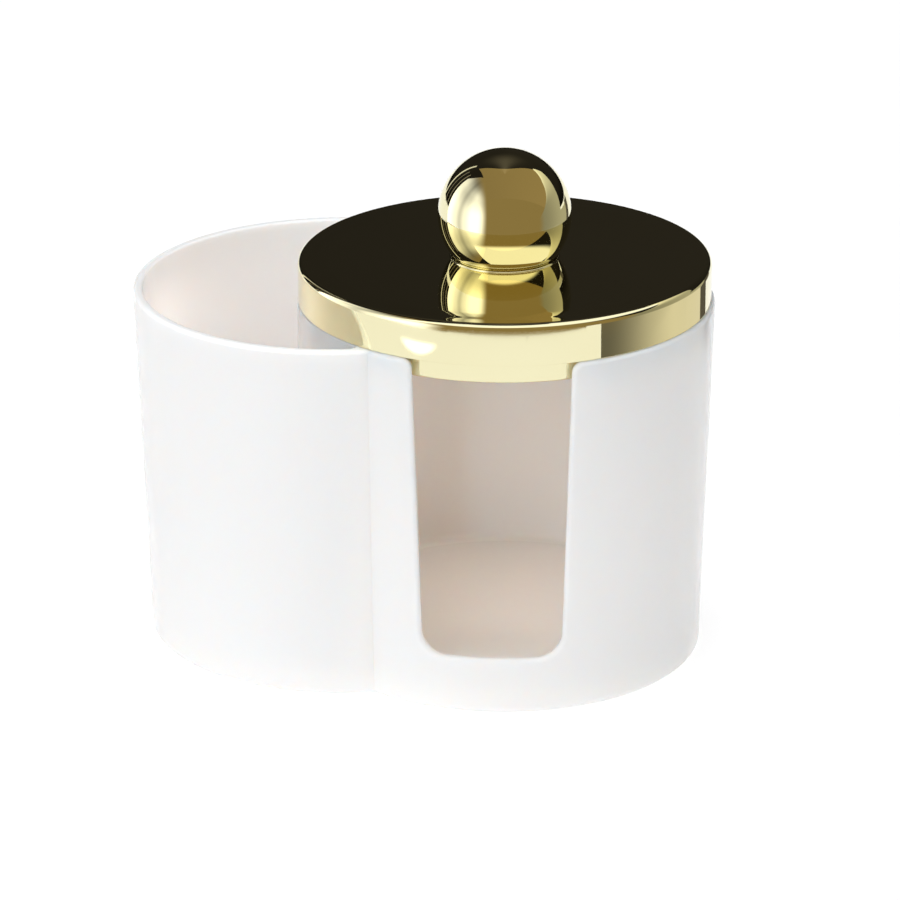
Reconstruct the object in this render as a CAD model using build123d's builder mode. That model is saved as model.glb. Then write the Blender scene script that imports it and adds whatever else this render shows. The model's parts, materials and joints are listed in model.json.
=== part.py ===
from build123d import *
import os
from math import sin, cos, radians

os.makedirs("parts", exist_ok=True)

# ---------------------------------------------------------------------------
# Twin-lobe vanity box: a round compartment for cotton pads with a slot in its
# front wall, a crescent compartment beside it for swabs, and a plated lid with
# a ball knob that lifts off the round compartment.
#
# Frame: +Z up, z = 0 on the table, origin at the middle of the footprint,
# +X along the long side with the round compartment on the +X side.
# Millimetres throughout.
# ---------------------------------------------------------------------------

# container, outside
overall_length = 95.0        # over both lobes at the rim
body_height = 59.0           # table to rim
lobe_rim_radius = 33.80      # both lobes, outside, at the rim
lobe_base_radius = 32.13     # both lobes, outside, at the table
base_edge_round = 1.0
lip_outer_round = 0.60       # rim and slot, outside
lip_inner_round = 0.50       # rim and slot, inside
crescent_lip_round = 0.35
crease_round = 0.30
lobe_offset = overall_length / 2 - lobe_rim_radius    # lobe axes at x = +/- this

# container, inside
wall = 1.50
floor_top = 4.20
floor_thickness = 1.80
floor_round = 1.25
foot_ring_inner_radius = 29.90
partition_rim_radius = 33.25     # crescent side of the curved partition
partition_base_radius = 33.80
crescent_tip_round = 1.0

# dispensing slot in the round compartment
slot_bearing = 11.4              # degrees from -Y towards +X
slot_half_width_low = 10.98      # at the sill
slot_half_width_rim = 12.42      # at the rim
slot_sill = 9.35
slot_corner_round = 4.0
slot_shoulder_round = 1.7

# lid
lid_radius = 33.18
lid_seat = body_height           # underside of the band, on the rim
lid_top = 65.83
lid_flat_radius = 27.6           # the top is flat inside this radius
# outside it the top falls off a little towards the edge: (radius, drop)
lid_fall = [(28.6, 0.004), (29.8, 0.040), (30.8, 0.085), (31.7, 0.100)]
lid_top_round = 1.0
bead_radius = 8.66               # low bead round the knob's foot
bead_section = 0.20
lid_seat_round = 0.15
plug_radius = 31.75
plug_bottom = 55.70
plug_inner_radius = 30.15
plug_lead_round = 0.45
lid_plate = 2.0
lid_inner_round = 1.2
screw_hole_radius = 1.70

# ball knob
ball_radius = 10.70
ball_centre = 72.76
knob_core_radius = 6.2
knob_core_top = 76.0
boss_radius = 3.3
pilot_radius = 1.45
pilot_depth = 9.0

# screw from under the lid
head_radius = 2.8
head_height = 1.9
shank_radius = 1.05
crest_radius = 1.42
thread_pitch = 1.1
screw_length = 9.5

draft = (lobe_rim_radius - lobe_base_radius) / body_height


def outer_r(z):
    """Outside radius of either lobe at height z."""
    return lobe_base_radius + draft * z


def inner_r(z):
    """Inside radius of either compartment at height z."""
    return outer_r(z) - wall


def lies_on(edge, axis_x, radius_at):
    """True if the edge runs along the surface of revolution radius_at(z)."""
    for t in (0.05, 0.5, 0.95):
        p = edge.position_at(t)
        if abs(((p.X - axis_x) ** 2 + p.Y ** 2) ** 0.5 - radius_at(p.Z)) > 0.02:
            return False
    return True


right_axis = Axis((lobe_offset, 0, 0), (0, 0, 1))
left_axis = Axis((-lobe_offset, 0, 0), (0, 0, 1))

# ---------------------------------------------------------------------------
# Tool solid: the crescent pocket. A tapered round pocket about the left axis,
# less everything inside the partition, which curves about the right axis.
# ---------------------------------------------------------------------------
over = 2.0
with BuildPart() as crescent_pocket:
    with BuildSketch(Plane.XZ) as pocket_profile:
        with BuildLine():
            Polyline(
                (-lobe_offset, floor_top),
                (-lobe_offset + inner_r(floor_top), floor_top),
                (-lobe_offset + inner_r(body_height + over), body_height + over),
                (-lobe_offset, body_height + over),
                close=True,
            )
        make_face()
    revolve(axis=left_axis)
    with Locations((lobe_offset, 0, floor_top - 1)):
        Cone(
            bottom_radius=partition_base_radius,
            top_radius=partition_rim_radius - (partition_base_radius - partition_rim_radius) * over / (body_height - floor_top),
            height=body_height + over - floor_top + 1,
            align=(Align.CENTER, Align.CENTER, Align.MIN),
            mode=Mode.SUBTRACT,
        )
    tips = crescent_pocket.edges().filter_by(
        lambda e: abs(e.bounding_box().size.Z) > 0.8 * (body_height - floor_top)
        and abs(e.center().X) < 5
    )
    fillet(tips, radius=crescent_tip_round)
    bottom_edges = crescent_pocket.faces().sort_by(Axis.Z)[0].edges()
    fillet(bottom_edges, radius=0.9)

# ---------------------------------------------------------------------------
# Container: one moulding. Two tapered lobes, the round pocket, the crescent
# pocket, the slot, and a shallow recess under the floor inside a foot ring.
# ---------------------------------------------------------------------------
slot_dir = (sin(radians(slot_bearing)), -cos(radians(slot_bearing)), 0)
slot_x = (cos(radians(slot_bearing)), sin(radians(slot_bearing)), 0)
slot_plane = Plane(origin=(lobe_offset, 0, 0), x_dir=slot_x, z_dir=slot_dir)

with BuildPart() as container:
    # right lobe
    with BuildSketch(Plane.XZ) as right_profile:
        with BuildLine():
            Polyline(
                (lobe_offset, 0),
                (lobe_offset + lobe_base_radius, 0),
                (lobe_offset + lobe_rim_radius, body_height),
                (lobe_offset, body_height),
                close=True,
            )
        make_face()
        fillet(
            right_profile.vertices().filter_by(
                lambda v: v.Y < 0.01 and v.X > lobe_offset + 10
            ),
            radius=base_edge_round,
        )
    revolve(axis=right_axis)
    # left lobe
    with BuildSketch(Plane.XZ) as left_profile:
        with BuildLine():
            Polyline(
                (-lobe_offset, 0),
                (-lobe_offset - lobe_base_radius, 0),
                (-lobe_offset - lobe_rim_radius, body_height),
                (-lobe_offset, body_height),
                close=True,
            )
        make_face()
        fillet(
            left_profile.vertices().filter_by(
                lambda v: v.Y < 0.01 and v.X < -lobe_offset - 10
            ),
            radius=base_edge_round,
        )
    revolve(axis=left_axis)

    # round pocket for the pads
    with BuildSketch(Plane.XZ) as round_pocket:
        with BuildLine():
            Polyline(
                (lobe_offset, floor_top),
                (lobe_offset + inner_r(floor_top), floor_top),
                (lobe_offset + inner_r(body_height), body_height),
                (lobe_offset + inner_r(body_height) + over, body_height),
                (lobe_offset + inner_r(body_height) + over, body_height + over),
                (lobe_offset, body_height + over),
                close=True,
            )
        make_face()
        fillet(
            round_pocket.vertices().filter_by(
                lambda v: v.Y < floor_top + 0.01 and v.X > lobe_offset + 10
            ),
            radius=floor_round,
        )
    revolve(axis=right_axis, mode=Mode.SUBTRACT)

    # crescent pocket for the swabs
    add(crescent_pocket.part, mode=Mode.SUBTRACT)

    # recess under the floor
    with BuildSketch(Plane.XY) as underside:
        with Locations((lobe_offset, 0), (-lobe_offset, 0)):
            Circle(foot_ring_inner_radius)
    extrude(amount=floor_top - floor_thickness, mode=Mode.SUBTRACT)
    recess_edges = container.edges().filter_by(
        lambda e: abs(e.center().Z - (floor_top - floor_thickness)) < 0.01
    )
    fillet(recess_edges, radius=0.6)

    # slot through the front wall of the round compartment, open at the rim
    with BuildSketch(slot_plane) as slot_profile:
        with BuildLine():
            Polyline(
                (-slot_half_width_low, slot_sill),
                (slot_half_width_low, slot_sill),
                (slot_half_width_rim, body_height),
                (slot_half_width_rim + 6, body_height),
                (slot_half_width_rim + 6, body_height + over),
                (-slot_half_width_rim - 6, body_height + over),
                (-slot_half_width_rim - 6, body_height),
                (-slot_half_width_rim, body_height),
                close=True,
            )
        make_face()
        fillet(
            slot_profile.vertices().filter_by(lambda v: v.Y < slot_sill + 0.01),
            radius=slot_corner_round,
        )
        fillet(
            slot_profile.vertices().filter_by(
                lambda v: abs(v.Y - body_height) < 0.01
                and abs(abs(v.X) - slot_half_width_rim) < 0.01
            ),
            radius=slot_shoulder_round,
        )
    extrude(amount=45, mode=Mode.SUBTRACT)

    # crease where the two lobes meet
    fillet(
        container.edges().filter_by(
            lambda e: e.geom_type == GeomType.HYPERBOLA
            and lies_on(e, lobe_offset, outer_r)
        ),
        radius=crease_round,
    )
    # rounded lips: the rim and the slot, outside, then inside
    fillet(
        container.edges().filter_by(
            lambda e: e.center().Z > slot_sill - 0.5
            and (e.center().Z > body_height - 1 or abs(e.center().X) > 3)
            and (
                lies_on(e, lobe_offset, outer_r)
                or lies_on(e, -lobe_offset, outer_r)
                or (
                    abs(e.center().X) < 1
                    and e.center().Z > body_height - 0.1
                    and abs(e.center().Y) > 30
                )
            )
        ),
        radius=lip_outer_round,
    )
    fillet(
        container.edges().filter_by(
            lambda e: e.center().Z > slot_sill - 0.5
            and e.geom_type not in (GeomType.HYPERBOLA, GeomType.LINE)
            and lies_on(e, lobe_offset, inner_r)
        ),
        radius=lip_inner_round,
    )
    # rim of the crescent pocket
    fillet(
        container.edges().filter_by(
            lambda e: abs(e.center().Z - body_height) < 0.01
            and (
                lies_on(e, -lobe_offset, inner_r)
                or lies_on(e, lobe_offset, lambda z: partition_rim_radius)
                or (abs(e.center().X) < 4 and e.length < 4)
            )
        ),
        radius=crescent_lip_round,
    )

container.part.label = "container"

# ---------------------------------------------------------------------------
# Lid: a plated disc with a band that sits on the rim and a plug ring that
# drops inside the mouth of the round compartment. Its top is flat, falls off
# slightly near the edge and carries a low bead round the knob's foot.
# ---------------------------------------------------------------------------
with BuildPart() as lid:
    with BuildSketch(Plane.XZ) as lid_profile:
        with BuildLine():
            Line((lobe_offset, lid_top), (lobe_offset + lid_flat_radius, lid_top))
            Spline(
                [(lobe_offset + lid_flat_radius, lid_top)]
                + [(lobe_offset + r, lid_top - drop) for r, drop in lid_fall],
                tangents=[(1, 0), (1, -0.008)],
            )
            lid_shoulder = lid_top - lid_fall[-1][1] - 0.012
            Polyline(
                (lobe_offset + lid_fall[-1][0], lid_top - lid_fall[-1][1]),
                (lobe_offset + lid_radius, lid_shoulder),
                (lobe_offset + lid_radius, lid_seat),
                (lobe_offset + plug_radius, lid_seat),
                (lobe_offset + plug_radius, plug_bottom),
                (lobe_offset + plug_inner_radius, plug_bottom),
                (lobe_offset + plug_inner_radius, lid_top - lid_plate),
                (lobe_offset, lid_top - lid_plate),
                (lobe_offset, lid_top),
            )
        make_face()
        fillet(
            lid_profile.vertices().filter_by(
                lambda v: abs(v.Y - lid_shoulder) < 0.005
                and v.X > lobe_offset + lid_radius - 0.01
            ),
            radius=lid_top_round,
        )
        fillet(
            lid_profile.vertices().filter_by(
                lambda v: abs(v.Y - lid_seat) < 0.01
                and abs(v.X - lobe_offset - lid_radius) < 0.01
            ),
            radius=lid_seat_round,
        )
        fillet(
            lid_profile.vertices().filter_by(lambda v: abs(v.Y - plug_bottom) < 0.01),
            radius=plug_lead_round,
        )
        fillet(
            lid_profile.vertices().filter_by(
                lambda v: abs(v.Y - lid_top + lid_plate) < 0.01
                and v.X > lobe_offset + 10
            ),
            radius=lid_inner_round,
        )
    revolve(axis=right_axis)
    with BuildSketch(Plane.XZ) as bead_profile:
        with Locations((lobe_offset + bead_radius, lid_top)):
            Circle(bead_section)
    revolve(axis=right_axis)
    with Locations((lobe_offset, 0, lid_top)):
        Hole(radius=screw_hole_radius, depth=lid_plate + 1)

lid.part.label = "lid"

# ---------------------------------------------------------------------------
# Knob: a ball cut flat where it stands on the lid, cored from beneath around a
# boss that takes the screw.
# ---------------------------------------------------------------------------
with BuildPart() as knob:
    with Locations((lobe_offset, 0, ball_centre)):
        Sphere(radius=ball_radius)
    split(bisect_by=Plane.XY.offset(lid_top), keep=Keep.TOP)
    with BuildSketch(Plane.XZ) as core_profile:
        with BuildLine():
            Polyline(
                (lobe_offset + boss_radius, lid_top - 1),
                (lobe_offset + knob_core_radius, lid_top - 1),
                (lobe_offset + knob_core_radius - 0.5, knob_core_top),
                (lobe_offset + boss_radius + 0.3, knob_core_top),
                close=True,
            )
        make_face()
    revolve(axis=right_axis, mode=Mode.SUBTRACT)
    with BuildSketch(Plane.XY.offset(lid_top)) as pilot:
        with Locations((lobe_offset, 0)):
            Circle(pilot_radius)
    extrude(amount=pilot_depth, mode=Mode.SUBTRACT)

knob.part.label = "knob"

# ---------------------------------------------------------------------------
# Screw: pan head under the lid plate, cross recess, thread crests as rings.
# ---------------------------------------------------------------------------
seat_z = lid_top - lid_plate
tip_z = seat_z + screw_length
with BuildPart() as knob_screw:
    with BuildSketch(Plane.XZ) as screw_profile:
        points = [
            (lobe_offset, seat_z - head_height),
            (lobe_offset + head_radius - 0.9, seat_z - head_height),
            (lobe_offset + head_radius - 0.25, seat_z - head_height + 0.55),
            (lobe_offset + head_radius, seat_z - head_height + 1.2),
            (lobe_offset + head_radius, seat_z),
            (lobe_offset + shank_radius, seat_z),
        ]
        z = seat_z + 1.2
        while z + thread_pitch < tip_z - 0.9:
            points += [
                (lobe_offset + shank_radius, z),
                (lobe_offset + crest_radius, z + 0.42 * thread_pitch),
                (lobe_offset + crest_radius, z + 0.54 * thread_pitch),
            ]
            z += thread_pitch
        points += [
            (lobe_offset + shank_radius, z),
            (lobe_offset + shank_radius, tip_z - 0.8),
            (lobe_offset + 0.35, tip_z),
            (lobe_offset, tip_z),
        ]
        with BuildLine():
            Polyline(*points, close=True)
        make_face()
    revolve(axis=right_axis)
    with BuildSketch(Plane.XY.offset(seat_z - head_height)) as cross:
        with Locations((lobe_offset, 0)):
            Rectangle(3.0, 0.75)
            Rectangle(0.75, 3.0)
    extrude(amount=1.25, taper=8, mode=Mode.SUBTRACT)

knob_screw.part.label = "knob_screw"

for piece in (container, lid, knob, knob_screw):
    export_step(piece.part, "parts/" + piece.part.label + ".step")
    box = piece.part.bounding_box()
    print(
        piece.part.label,
        "solids", len(piece.part.solids()),
        "volume", round(piece.part.volume, 1),
        "x", round(box.min.X, 2), round(box.max.X, 2),
        "y", round(box.min.Y, 2), round(box.max.Y, 2),
        "z", round(box.min.Z, 2), round(box.max.Z, 2),
    )
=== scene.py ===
import json
import math

import bpy
import bmesh
from mathutils import Matrix, Vector

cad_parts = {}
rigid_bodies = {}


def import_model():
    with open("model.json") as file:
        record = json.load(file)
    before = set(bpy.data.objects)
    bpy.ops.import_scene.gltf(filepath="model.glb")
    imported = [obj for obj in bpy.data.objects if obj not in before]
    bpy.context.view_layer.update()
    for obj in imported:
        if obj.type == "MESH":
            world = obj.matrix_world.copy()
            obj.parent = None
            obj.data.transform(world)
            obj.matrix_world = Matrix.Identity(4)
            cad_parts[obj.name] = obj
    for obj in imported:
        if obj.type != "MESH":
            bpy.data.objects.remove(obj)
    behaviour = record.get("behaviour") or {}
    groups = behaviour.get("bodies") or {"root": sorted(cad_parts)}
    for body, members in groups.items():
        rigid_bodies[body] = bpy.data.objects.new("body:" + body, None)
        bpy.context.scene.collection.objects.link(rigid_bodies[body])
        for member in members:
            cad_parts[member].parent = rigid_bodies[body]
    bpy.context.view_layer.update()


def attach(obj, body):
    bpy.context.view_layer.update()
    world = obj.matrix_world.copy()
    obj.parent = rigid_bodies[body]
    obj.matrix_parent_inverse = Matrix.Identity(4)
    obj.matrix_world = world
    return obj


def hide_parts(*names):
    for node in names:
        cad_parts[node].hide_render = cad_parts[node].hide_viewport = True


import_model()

scene = bpy.context.scene
scene.view_settings.view_transform = "Standard"
scene.view_settings.look = "None"
scene.view_settings.exposure = 0.0
scene.view_settings.gamma = 1.0

# axis of the round compartment, its lid and its knob
AXIS_X = 0.0137
CAMERA_BEARING = math.radians(15.09)      # from -Y towards +X, seen from that axis


# ---------------------------------------------------------------------------
# small helpers for node trees
# ---------------------------------------------------------------------------
class Tree:
    def __init__(self, name):
        self.mat = bpy.data.materials.new(name)
        self.mat.use_nodes = True
        self.nt = self.mat.node_tree
        self.nt.nodes.clear()

    def node(self, kind, **props):
        n = self.nt.nodes.new(kind)
        inputs = props.pop("inputs", {})
        for k, v in props.items():
            setattr(n, k, v)
        for k, v in inputs.items():
            if isinstance(v, bpy.types.NodeSocket):
                self.nt.links.new(v, n.inputs[k])
            else:
                n.inputs[k].default_value = v
        return n

    def math(self, op, a, b=None, clamp=False):
        n = self.node("ShaderNodeMath", operation=op, use_clamp=clamp)
        for i, v in enumerate((a, b)):
            if v is None:
                continue
            if isinstance(v, bpy.types.NodeSocket):
                self.nt.links.new(v, n.inputs[i])
            else:
                n.inputs[i].default_value = v
        return n.outputs[0]

    def ramp(self, fac, stops, interpolation="LINEAR"):
        n = self.node("ShaderNodeValToRGB")
        self.nt.links.new(fac, n.inputs[0])
        cr = n.color_ramp
        cr.interpolation = interpolation
        while len(cr.elements) > 1:
            cr.elements.remove(cr.elements[-1])
        cr.elements[0].position = stops[0][0]
        cr.elements[0].color = stops[0][1]
        for p, c in stops[1:]:
            cr.elements.new(p).color = c
        return n.outputs[0]

    def remap(self, value, a, b, lo, hi):
        n = self.node("ShaderNodeMapRange")
        self.nt.links.new(value, n.inputs[0])
        for i, v in enumerate((a, b, lo, hi)):
            n.inputs[i + 1].default_value = v
        return n.outputs[0]


def grey(v, a=1.0):
    return (v, v, v, a)


# ---------------------------------------------------------------------------
# materials of the object
# ---------------------------------------------------------------------------
def white_plastic():
    """Glossy injection-moulded white, slightly translucent: flow mottling, orange peel, hairline rub marks."""
    t = Tree("white_plastic_moulded")
    coord = t.node("ShaderNodeTexCoord").outputs["Object"]
    flow = t.node("ShaderNodeTexNoise", inputs={"Vector": coord, "Scale": 26.0, "Detail": 2.0, "Roughness": 0.5}).outputs[0]
    fine = t.node("ShaderNodeTexNoise", inputs={"Vector": coord, "Scale": 900.0, "Detail": 3.0, "Roughness": 0.55}).outputs[0]
    peel = t.node("ShaderNodeTexNoise", inputs={"Vector": coord, "Scale": 420.0, "Detail": 1.0, "Roughness": 0.4}).outputs[0]
    # rub marks run round the walls: noise squeezed flat along the height
    squeeze = t.node("ShaderNodeMapping", inputs={"Vector": coord, "Scale": (90.0, 90.0, 2600.0)}).outputs[0]
    rub = t.node("ShaderNodeTexNoise", inputs={"Vector": squeeze, "Scale": 1.0, "Detail": 2.0, "Roughness": 0.6}).outputs[0]
    rub_mask = t.remap(rub, 0.60, 0.78, 0.0, 1.0)
    colour = t.ramp(flow, [(0.30, (0.912, 0.893, 0.880, 1)), (0.72, (0.932, 0.913, 0.900, 1))])
    rough = t.math("ADD", t.remap(flow, 0.25, 0.75, 0.150, 0.200), t.math("MULTIPLY", rub_mask, 0.05))
    rough = t.math("ADD", rough, t.remap(fine, 0.2, 0.8, -0.015, 0.02))
    height = t.math("ADD", t.math("MULTIPLY", peel, 1.0), t.math("MULTIPLY", fine, 0.18))
    bump = t.node("ShaderNodeBump", inputs={"Strength": 0.05, "Distance": 0.0002, "Height": height}).outputs[0]
    b = t.node("ShaderNodeBsdfPrincipled", inputs={
        "Base Color": colour, "Roughness": rough, "IOR": 1.50, "Normal": bump,
        "Subsurface Weight": 1.0, "Subsurface Radius": (0.0030, 0.0025, 0.0022), "Subsurface Scale": 1.0,
    })
    out = t.node("ShaderNodeOutputMaterial")
    t.nt.links.new(b.outputs[0], out.inputs[0])
    return t.mat


def gold_plating():
    """Mirror gold electroplate: very low, slightly uneven roughness with fine wipe marks."""
    t = Tree("gold_electroplate")
    coord = t.node("ShaderNodeTexCoord").outputs["Object"]
    cloud = t.node("ShaderNodeTexNoise", inputs={"Vector": coord, "Scale": 38.0, "Detail": 3.0, "Roughness": 0.5}).outputs[0]
    squeeze = t.node("ShaderNodeMapping", inputs={"Vector": coord, "Scale": (700.0, 120.0, 500.0), "Rotation": (0.2, 0.1, 0.6)}).outputs[0]
    wipe = t.node("ShaderNodeTexNoise", inputs={"Vector": squeeze, "Scale": 1.0, "Detail": 4.0, "Roughness": 0.6}).outputs[0]
    wipe_mask = t.remap(wipe, 0.62, 0.80, 0.0, 1.0)
    colour = t.ramp(cloud, [(0.30, (0.870, 0.810, 0.515, 1)), (0.70, (0.884, 0.832, 0.545, 1))])
    rough = t.math("ADD", t.remap(cloud, 0.30, 0.72, 0.018, 0.040), t.math("MULTIPLY", wipe_mask, 0.03))
    long_wave = t.node("ShaderNodeTexNoise", inputs={"Vector": coord, "Scale": 60.0, "Detail": 1.0, "Roughness": 0.3}).outputs[0]
    bump = t.node("ShaderNodeBump", inputs={"Strength": 0.06, "Distance": 0.0001, "Height": long_wave}).outputs[0]
    b = t.node("ShaderNodeBsdfPrincipled", inputs={
        "Base Color": colour, "Metallic": 1.0, "Roughness": rough, "Normal": bump,
    })
    out = t.node("ShaderNodeOutputMaterial")
    t.nt.links.new(b.outputs[0], out.inputs[0])
    return t.mat


def zinc_steel():
    """Zinc-plated steel of the screw: bluish grey, mottled."""
    t = Tree("zinc_plated_steel")
    coord = t.node("ShaderNodeTexCoord").outputs["Object"]
    cloud = t.node("ShaderNodeTexNoise", inputs={"Vector": coord, "Scale": 520.0, "Detail": 4.0, "Roughness": 0.6}).outputs[0]
    colour = t.ramp(cloud, [(0.3, (0.50, 0.51, 0.52, 1)), (0.7, (0.68, 0.68, 0.66, 1))])
    rough = t.remap(cloud, 0.25, 0.75, 0.26, 0.42)
    bump = t.node("ShaderNodeBump", inputs={"Strength": 0.15, "Distance": 0.0001, "Height": cloud}).outputs[0]
    b = t.node("ShaderNodeBsdfPrincipled", inputs={
        "Base Color": colour, "Metallic": 1.0, "Roughness": rough, "Normal": bump,
    })
    out = t.node("ShaderNodeOutputMaterial")
    t.nt.links.new(b.outputs[0], out.inputs[0])
    return t.mat


WHITE = white_plastic()
GOLD = gold_plating()
STEEL = zinc_steel()


def assign(node, mat):
    o = bpy.data.objects[node]
    for s in o.material_slots:
        s.material = mat
    if not o.material_slots:
        o.data.materials.append(mat)


assign("container", WHITE)
assign("lid", GOLD)
assign("knob", GOLD)
assign("knob_screw", STEEL)


# ---------------------------------------------------------------------------
# lid and knob as finely cut solids of revolution about the round compartment's
# axis, with the same profile as the CAD nodes (millimetres: radius, height)
# ---------------------------------------------------------------------------
def straight(p, q):
    """Run from p to q with the normal on its left hand when walked clockwise round the section."""
    d = Vector((q[0] - p[0], q[1] - p[1])).normalized()
    n = (-d.y, d.x)
    return [(*p, *n), (*q, *n)]


def arc(centre, radius, start, end, outward=1, step=4.0):
    """Arc about centre from start to end degrees; outward -1 is a hollow corner."""
    n = max(2, int(abs(end - start) / step + 0.5))
    run = []
    for i in range(n + 1):
        a = math.radians(start + (end - start) * i / n)
        c, d = math.cos(a), math.sin(a)
        run.append((centre[0] + radius * c, centre[1] + radius * d, outward * c, outward * d))
    return run


def turned(name, runs, segments=360):
    """Solid of revolution of the runs, each a list of (radius, height, normal r, normal z)."""
    rows, corners = [], []
    for run in runs:
        ids = []
        for r, z, nr, nz in run:
            if not rows or math.dist(rows[-1], (r, z)) > 1e-6:
                if rows and math.dist(rows[0], (r, z)) < 1e-6:
                    ids.append((0, nr, nz))
                    continue
                rows.append((r, z))
            ids.append((len(rows) - 1, nr, nz))
        corners.append(ids)
    verts, first = [], []
    for r, z in rows:
        first.append(len(verts))
        for k in range(segments if r > 1e-6 else 1):
            a = 2 * math.pi * k / segments
            verts.append((AXIS_X + r * math.cos(a) / 1000, r * math.sin(a) / 1000, z / 1000))
    faces, normals = [], []
    for ids in corners:
        for (i, ir, iz), (j, jr, jz) in zip(ids, ids[1:]):
            for k in range(segments):
                k2 = (k + 1) % segments
                a, b = 2 * math.pi * k / segments, 2 * math.pi * k2 / segments
                quad = [(j, k, jr, jz, a), (j, k2, jr, jz, b), (i, k2, ir, iz, b), (i, k, ir, iz, a)]
                if rows[i][0] <= 1e-6:
                    quad = quad[:3]
                elif rows[j][0] <= 1e-6:
                    quad = quad[1:]
                faces.append([first[r] + (c if rows[r][0] > 1e-6 else 0) for r, c, *_ in quad])
                normals += [(n * math.cos(t), n * math.sin(t), h) for _, _, n, h, t in quad]
    me = bpy.data.meshes.new(name)
    me.from_pydata(verts, [], faces)
    for p in me.polygons:
        p.use_smooth = True
    # faces wound the same way as their normals
    p = me.polygons[len(me.polygons) // 2]
    if p.normal.dot(Vector(normals[p.loop_start])) < 0:
        raise RuntimeError("wound inside out: " + name)
    me.normals_split_custom_set(normals)
    o = bpy.data.objects.new(name, me)
    scene.collection.objects.link(o)
    me.materials.append(GOLD)
    return o


def fall(r):
    """Drop of the lid's top near its edge, and its slope."""
    pts = [(27.6, 0.0, 0.0), (28.6, 0.004, 0.018), (29.8, 0.040, 0.040), (30.8, 0.085, 0.030), (31.7, 0.100, 0.008)]
    for (a, ya, ma), (b, yb, mb) in zip(pts, pts[1:]):
        if r <= b:
            w = b - a
            t = (r - a) / w
            y = (2 * t**3 - 3 * t**2 + 1) * ya + (t**3 - 2 * t**2 + t) * w * ma + (3 * t**2 - 2 * t**3) * yb + (t**3 - t**2) * w * mb
            dy = ((6 * t**2 - 6 * t) * ya + (6 * t - 6 * t**2) * yb) / w + (3 * t**2 - 4 * t + 1) * ma + (3 * t**2 - 2 * t) * mb
            return y, dy
    return pts[-1][1], pts[-1][2]


def top_run():
    run = []
    for i in range(83):
        r = 27.6 + 4.1 * i / 82
        y, dy = fall(r)
        k = math.hypot(1, dy)
        run.append((r, 65.83 - y, dy / k, 1 / k))
    return run


slope = math.atan2(0.012, 1.48)              # fall of the last stretch before the rounded edge
edge_c = (33.18 - 1.0, 65.73 - 0.012 * (32.18 - 31.7) / 1.48 - 1.0 / math.cos(slope))
tangent = (edge_c[0] + math.sin(slope), edge_c[1] + math.cos(slope))
lid_shell = turned("lid_shell", [
    straight((1.70, 65.83), (8.46, 65.83)),
    arc((8.66, 65.83), 0.20, 180, 0, step=9),
    straight((8.86, 65.83), (27.6, 65.83)),
    top_run(),
    straight((31.7, 65.73), tangent),
    arc(edge_c, 1.0, 90 - math.degrees(slope), 0, step=3),
    straight((33.18, edge_c[1]), (33.18, 59.15)),
    arc((33.03, 59.15), 0.15, 0, -90, step=15),
    straight((33.03, 59.0), (31.75, 59.0)),
    straight((31.75, 59.0), (31.75, 56.15)),
    arc((31.30, 56.15), 0.45, 0, -90, step=9),
    straight((31.30, 55.70), (30.60, 55.70)),
    arc((30.60, 56.15), 0.45, -90, -180, step=9),
    straight((30.15, 56.15), (30.15, 62.63)),
    arc((28.95, 62.63), 1.2, 0, 90, outward=-1, step=9),
    straight((28.95, 63.83), (1.70, 63.83)),
    straight((1.70, 63.83), (1.70, 65.83)),
])
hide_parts("lid")
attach(lid_shell, "lid")

cut = math.degrees(math.asin((65.83 - 72.76) / 10.70))
foot = 10.70 * math.cos(math.radians(cut))
knob_ball = turned("knob_ball", [
    arc((0.0, 72.76), 10.70, 90, cut, step=1.5),
    straight((foot, 65.83), (6.155, 65.83)),
    straight((6.155, 65.83), (5.70, 76.0)),
    straight((5.70, 76.0), (3.60, 76.0)),
    straight((3.60, 76.0), (3.327, 65.83)),
    straight((3.327, 65.83), (1.45, 65.83)),
    straight((1.45, 65.83), (1.45, 74.83)),
    straight((1.45, 74.83), (0.0, 74.83)),
])
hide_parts("knob")
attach(knob_ball, "lid")


# ---------------------------------------------------------------------------
# stage: floor, backdrop, cards and lamps
# ---------------------------------------------------------------------------
KNOB_CENTRE = Vector((AXIS_X, 0.0, 0.0728))


def smooth(a, b, x):
    t = max(0.0, min(1.0, (x - a) / (b - a)))
    return t * t * (3 - 2 * t)


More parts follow.
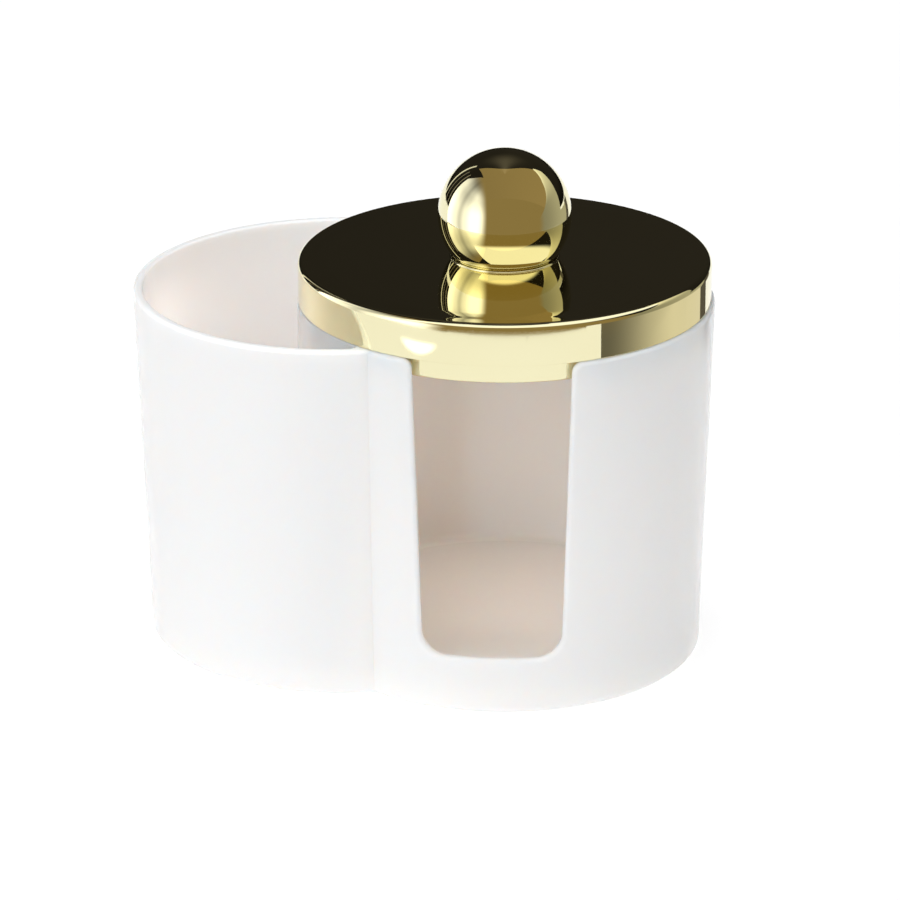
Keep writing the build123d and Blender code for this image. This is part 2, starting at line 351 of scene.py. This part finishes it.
def card(name, bearings, low, high, radius, light, steps=14, clear=False, across=False):
    """A curved card of light about the knob. low and high give its edges in degrees of height for a bearing
    (0 towards the camera, + to its right), and light(bearing, height) its colour. A clear card lets the light
    behind it through. With across, bearings are sideways sines and heights turn about the sideways axis."""
    bm = bmesh.new()
    layer = bm.verts.layers.float_color.new("light")
    grid = []
    for bearing in bearings:
        lo, hi = low(bearing), high(bearing)
        a = math.radians(bearing) + CAMERA_BEARING
        col = []
        for k in range(steps + 1):
            height = lo + (hi - lo) * k / steps
            e = math.radians(height)
            if across:
                w = math.sqrt(1 - bearing * bearing)
                fwd = Vector((math.sin(CAMERA_BEARING), -math.cos(CAMERA_BEARING), 0))
                side = Vector((math.cos(CAMERA_BEARING), math.sin(CAMERA_BEARING), 0))
                d = side * bearing + fwd * (w * math.cos(e)) + Vector((0, 0, w * math.sin(e)))
            else:
                d = Vector((math.cos(e) * math.sin(a), -math.cos(e) * math.cos(a), math.sin(e)))
            p = KNOB_CENTRE + radius * d
            if p.z < 0.0006:
                # stop where the card meets the floor
                away = math.sqrt(max(radius ** 2 - (KNOB_CENTRE.z - 0.0006) ** 2, 0.0))
                flat = Vector((d.x, d.y, 0)).normalized() * away
                p = Vector((KNOB_CENTRE.x + flat.x, KNOB_CENTRE.y + flat.y, 0.0006))
            v = bm.verts.new(p)
            v[layer] = (*light(bearing, height), 1.0)
            col.append(v)
        grid.append(col)
    for one, two in zip(grid, grid[1:]):
        for k in range(steps):
            bm.faces.new((one[k], two[k], two[k + 1], one[k + 1])).smooth = True
    me = bpy.data.meshes.new(name)
    bm.to_mesh(me)
    bm.free()
    o = bpy.data.objects.new(name, me)
    scene.collection.objects.link(o)
    t = Tree(name + "_light")
    colour = t.node("ShaderNodeAttribute", attribute_name="light").outputs[0]
    e = t.node("ShaderNodeEmission", inputs={"Color": colour, "Strength": 1.0})
    surface = e
    if clear:
        surface = t.node("ShaderNodeAddShader")
        t.nt.links.new(e.outputs[0], surface.inputs[0])
        t.nt.links.new(t.node("ShaderNodeBsdfTransparent").outputs[0], surface.inputs[1])
    out = t.node("ShaderNodeOutputMaterial")
    t.nt.links.new(surface.outputs[0], out.inputs[0])
    me.materials.append(t.mat)
    o.visible_camera = False
    o.visible_diffuse = False
    o.visible_shadow = False
    o.visible_transmission = False
    return o


def span(a, b, step=2.0):
    n = max(1, int(round((b - a) / step)))
    return [a + (b - a) * i / n for i in range(n + 1)]


def level(x):
    return lambda bearing: x


def light_only(obj, names, label):
    """obj lights only the named nodes."""
    group = bpy.data.collections.new(label)
    for n in names:
        group.objects.link(bpy.data.objects[n])
    obj.light_linking.receiver_collection = group


def floor_material():
    t = Tree("pale_floor")
    coord = t.node("ShaderNodeTexCoord").outputs["Object"]
    n = t.node("ShaderNodeTexNoise", inputs={"Vector": coord, "Scale": 3.0, "Detail": 2.0}).outputs[0]
    c = t.ramp(n, [(0.3, grey(0.90)), (0.7, grey(0.92))])
    b = t.node("ShaderNodeBsdfPrincipled", inputs={"Base Color": c, "Roughness": 0.9, "Specular IOR Level": 0.0})
    out = t.node("ShaderNodeOutputMaterial")
    t.nt.links.new(b.outputs[0], out.inputs[0])
    return t.mat


def plane(name, corners, mat):
    me = bpy.data.meshes.new(name)
    me.from_pydata([Vector(c) for c in corners], [], [tuple(range(len(corners)))])
    o = bpy.data.objects.new(name, me)
    scene.collection.objects.link(o)
    me.materials.append(mat)
    return o


floor = plane("floor", [(-6, -6, 0), (6, -6, 0), (6, 6, 0), (-6, 6, 0)], floor_material())

# white surround that only the camera sees, so every view has the same pale background
bm = bmesh.new()
bmesh.ops.create_uvsphere(bm, u_segments=48, v_segments=24, radius=5.8)
me = bpy.data.meshes.new("surround")
bm.to_mesh(me)
bm.free()
surround = bpy.data.objects.new("surround", me)
scene.collection.objects.link(surround)
t = Tree("surround_light")
e = t.node("ShaderNodeEmission", inputs={"Color": grey(1.0), "Strength": 1.02})
out = t.node("ShaderNodeOutputMaterial")
t.nt.links.new(e.outputs[0], out.inputs[0])
me.materials.append(t.mat)
for a in ("visible_glossy", "visible_diffuse", "visible_transmission", "visible_shadow", "visible_volume_scatter"):
    setattr(surround, a, False)


# left soft box: two panels with a dim seam, a slanted top and a soft right side
def left_top(b):
    side = math.degrees(math.acos(min(1.0, 0.475 / abs(math.sin(math.radians(b))))))
    return min(side, 61.8 + 0.6 * (b + 90.0), 57.0 + 1.2 * (b + 98.0) if b < -98 else 90.0)


def left_light(b, h):
    v = 1.25 + 0.55 * smooth(-92, -106, b) + 0.60 * smooth(-72, -58, b)
    v -= 0.45 * math.exp(-(((b + 82.0) / 6.0) ** 2))
    v *= (1.0 - 0.38 * smooth(8, 32, h)) * (1.0 - 0.70 * smooth(34, 54, h))
    w = math.cos(math.radians(h)) * abs(math.sin(math.radians(b)))
    e = smooth(0.475, 0.72, w)
    return tuple(v * y * e + x * (1 - e) for x, y in zip((0.280, 0.205, 0.085), (1.0, 1.0, 1.02)))


card("card_left", span(-113, -29, 1.5), level(-19.2), lambda b: max(left_top(b), 2.0), 0.222, left_light, steps=28)


# front: a dim warm grey, close to the object
card("card_front", span(-0.62, 0.97, 0.02), level(-25.0), level(44.0), 0.2224, lambda x, h: (0.280, 0.205, 0.085), across=True)
# over the knob the same grey goes on past the zenith, and only the knob shows it
card_high = card("card_front_high", span(-0.49, 0.97, 0.02), level(44.0), lambda x: min(101.0 + 75.0 * x * x, 128.0), 0.40,
                 lambda x, h: tuple(c * (1 + 0.12 * x) for c in (0.276, 0.200, 0.083)), steps=24, clear=True, across=True)
light_only(card_high, ["knob_ball"], "lit_by_card_front_high")

# overhead soft box for the lid and the box
card_over = card("card_over", span(-60, 122, 3), level(33.0), level(77.0), 0.218,
                 lambda b, h: (1.20 * smooth(33, 40, h),) * 3, steps=32, clear=True)
light_only(card_over, ["lid_shell", "container", "knob_screw"], "lit_by_card_over")


# right card: weaker, brighter towards its top and far edges
def right_top(b):
    return max(2.0, 3.0 + 0.78 * (b - 61.0)) if b < 105 else min(37.3 + 0.42 * (b - 105.0), 47.0)


def right_light(b, h):
    u = smooth(64, 118, b)
    v = 0.27 + 0.17 * u + 0.42 * smooth(16, 44, h) + 0.22 * smooth(0.86, 1.0, h / right_top(b)) * smooth(14, 28, h)
    m = smooth(58, 72, b)
    upper = [x * (1 - m) + v * y * m for x, y in zip((0.280, 0.205, 0.085), (1.0, 0.95, 0.70))]
    g = 0.14 + 0.64 * smooth(50, 100, b)
    k = smooth(-19.5, -15.5, h)
    return tuple(x * k + g * y * (1 - k) for x, y in zip(upper, (1.0, 0.93, 0.74)))


card("card_right", span(49, 110), level(-25.2), right_top, 0.170, right_light, steps=20)
card("card_right_low", span(110, 128), level(-25.2), level(-2.0), 0.170, right_light)
card("card_right_high", span(110, 131, 1.5), lambda b: min(2.4 * (b - 110.0), 1.35 * (b - 117.0) + 17.0), right_top, 0.170, right_light)
card("gap_back_right", span(127, 138, 1), level(-25.2), level(-0.5), 0.1702, lambda b, h: (0.10, 0.09, 0.075))


# back of the studio: nearly black, a trace lighter straight behind
def rear_light(b, h):
    away = abs(b - 180.0)
    v = 0.0135 + 0.0068 * math.exp(-((away / 45.0) ** 2)) * (1.0 + 0.22 * math.tanh((180.0 - b) / 3.0))
    v += 0.068 * math.exp(-((away / 22.0) ** 2)) * smooth(32, 62, h)
    v *= 0.35 + 0.65 * smooth(0.0, 14.0, h)
    return (v * 1.0, v * 0.88, v * 0.72)


card("card_rear", span(-180, 180, 2.5), level(0.3), level(89.9), 1.5, lambda b, h: rear_light(b % 360, h), steps=28)
# thin bright uprights behind on the left
card("strip_left", span(-141.5, -138.5, 1), level(-2.0), level(42.0), 0.60, lambda b, h: (0.85, 0.83, 0.74))
card("strip_left_2", span(-131.0, -130.0, 0.5), level(-2.0), level(37.0), 0.60, lambda b, h: (0.32, 0.29, 0.24))
card("strip_left_3", span(-121.5, -120.3, 0.5), level(-2.0), level(41.0), 0.60, lambda b, h: (0.40, 0.36, 0.30))


# bright pool on the floor that the band shows as an oval highlight
def pool():
    a = math.radians(-44.5) + CAMERA_BEARING
    centre = Vector((AXIS_X, 0, 0)) + 0.1985 * Vector((math.sin(a), -math.cos(a), 0))
    bm = bmesh.new()
    layer = bm.verts.layers.float_color.new("light")
    mid = bm.verts.new(centre + Vector((0, 0, 0.0004)))
    mid[layer] = (1.2, 1.2, 1.2, 1)
    rings = []
    for r, v in ((0.6, 1.1), (0.8, 0.6), (1.0, 0.0)):
        ring = []
        for i in range(40):
            t = 2 * math.pi * i / 40
            u = Vector((math.sin(a), -math.cos(a), 0)) * 0.0042 * r * math.sin(t) + Vector((math.cos(a), math.sin(a), 0)) * 0.037 * r * math.cos(t)
            w = bm.verts.new(centre + u + Vector((0, 0, 0.0004)))
            w[layer] = (v, v, v, 1)
            ring.append(w)
        rings.append(ring)
    for i in range(40):
        bm.faces.new((mid, rings[0][i], rings[0][(i + 1) % 40]))
        for p, q in zip(rings, rings[1:]):
            bm.faces.new((p[i], q[i], q[(i + 1) % 40], p[(i + 1) % 40]))
    me = bpy.data.meshes.new("pool")
    bm.to_mesh(me)
    bm.free()
    o = bpy.data.objects.new("pool", me)
    scene.collection.objects.link(o)
    t = Tree("pool_light")
    colour = t.node("ShaderNodeAttribute", attribute_name="light").outputs[0]
    both = t.node("ShaderNodeAddShader")
    t.nt.links.new(t.node("ShaderNodeEmission", inputs={"Color": colour, "Strength": 1.0}).outputs[0], both.inputs[0])
    t.nt.links.new(t.node("ShaderNodeBsdfTransparent").outputs[0], both.inputs[1])
    t.nt.links.new(both.outputs[0], t.node("ShaderNodeOutputMaterial").inputs[0])
    me.materials.append(t.mat)
    o.visible_camera = o.visible_diffuse = o.visible_shadow = o.visible_transmission = False


pool()

# world: even soft light on matt surfaces, unseen in mirrors
world = bpy.data.worlds.new("studio_fill")
scene.world = world
world.use_nodes = True
bg = world.node_tree.nodes["Background"]
bg.inputs[0].default_value = (0.975, 1.0, 1.03, 1.0)
bg.inputs[1].default_value = 0.21
world.cycles_visibility.glossy = False
world.cycles_visibility.camera = False


def lamp(name, energy, bearing, height, angle, colour=(1, 1, 1)):
    d = bpy.data.lights.new(name, "SUN")
    d.energy = energy
    d.angle = math.radians(angle)
    d.color = colour
    o = bpy.data.objects.new(name, d)
    scene.collection.objects.link(o)
    a, e = math.radians(bearing) + CAMERA_BEARING, math.radians(height)
    back = Vector((math.cos(e) * math.sin(a), -math.cos(e) * math.cos(a), math.sin(e)))
    o.location = back * 2
    o.rotation_euler = (-back).to_track_quat("-Z", "Y").to_euler()
    o.visible_glossy = False
    return o


OBJECT = ["container", "knob_screw", "lid_shell", "knob_ball"]
light_only(lamp("sky_soft", 2.55, -20, 88, 36), OBJECT, "lit_by_sky_soft")
# even light for the floor, which leaves it only the fill's faint contact shadow
wash = lamp("floor_wash", 1.75, -20, 88, 36)
light_only(wash, ["floor"], "lit_by_floor_wash")
light_only(lamp("floor_shade", 1.15, -20, 88, 30), ["floor"], "lit_by_floor_shade")
wash.light_linking.blocker_collection = bpy.data.collections.new("shades_floor_wash")
wash.light_linking.blocker_collection.objects.link(surround)
light_only(lamp("key_front", 0.99, -28, 25, 50, (0.98, 1.0, 1.025)), OBJECT, "lit_by_key_front")
light_only(lamp("key_left", 0.05, -85, 25, 50, (0.98, 1.0, 1.025)), OBJECT, "lit_by_key_left")



def fill(name, watts, place, radius, colour):
    """Small warm fill for a compartment, as light through thin white walls gives it."""
    d = bpy.data.lights.new(name, "POINT")
    d.energy = watts
    d.color = colour
    d.shadow_soft_size = radius
    o = bpy.data.objects.new(name, d)
    scene.collection.objects.link(o)
    o.location = place
    o.visible_glossy = False
    light_only(o, ["container"], "lit_by_" + name)


fill("fill_pads", 0.0062, (AXIS_X, 0.0, 0.0265), 0.012, (1.0, 0.815, 0.735))
fill("fill_swabs", 0.0040, (-0.0335, 0.0, 0.048), 0.006, (1.0, 0.87, 0.80))

# ---------------------------------------------------------------------------
# camera, at the photograph's viewing angle
# ---------------------------------------------------------------------------
cam_data = bpy.data.cameras.new("camera")
cam_data.sensor_fit = "HORIZONTAL"
cam_data.sensor_width = 36.0
cam_data.lens = 4301.33 / 900.0 * 36.0
cam_data.clip_start = 0.01
cam_data.clip_end = 30.0
camera = bpy.data.objects.new("camera", cam_data)
scene.collection.objects.link(camera)
right = Vector((0.96223214, 0.27221175, -0.00317367))
up = Vector((-0.09569437, 0.34913484, 0.93217351))
back = -Vector((-0.25485662, 0.89666361, -0.36199789))
m = Matrix((
    (right.x, up.x, back.x, 0.18373),
    (right.y, up.y, back.y, -0.63059),
    (right.z, up.z, back.z, 0.28604),
    (0, 0, 0, 1),
))
camera.matrix_world = m
scene.camera = camera
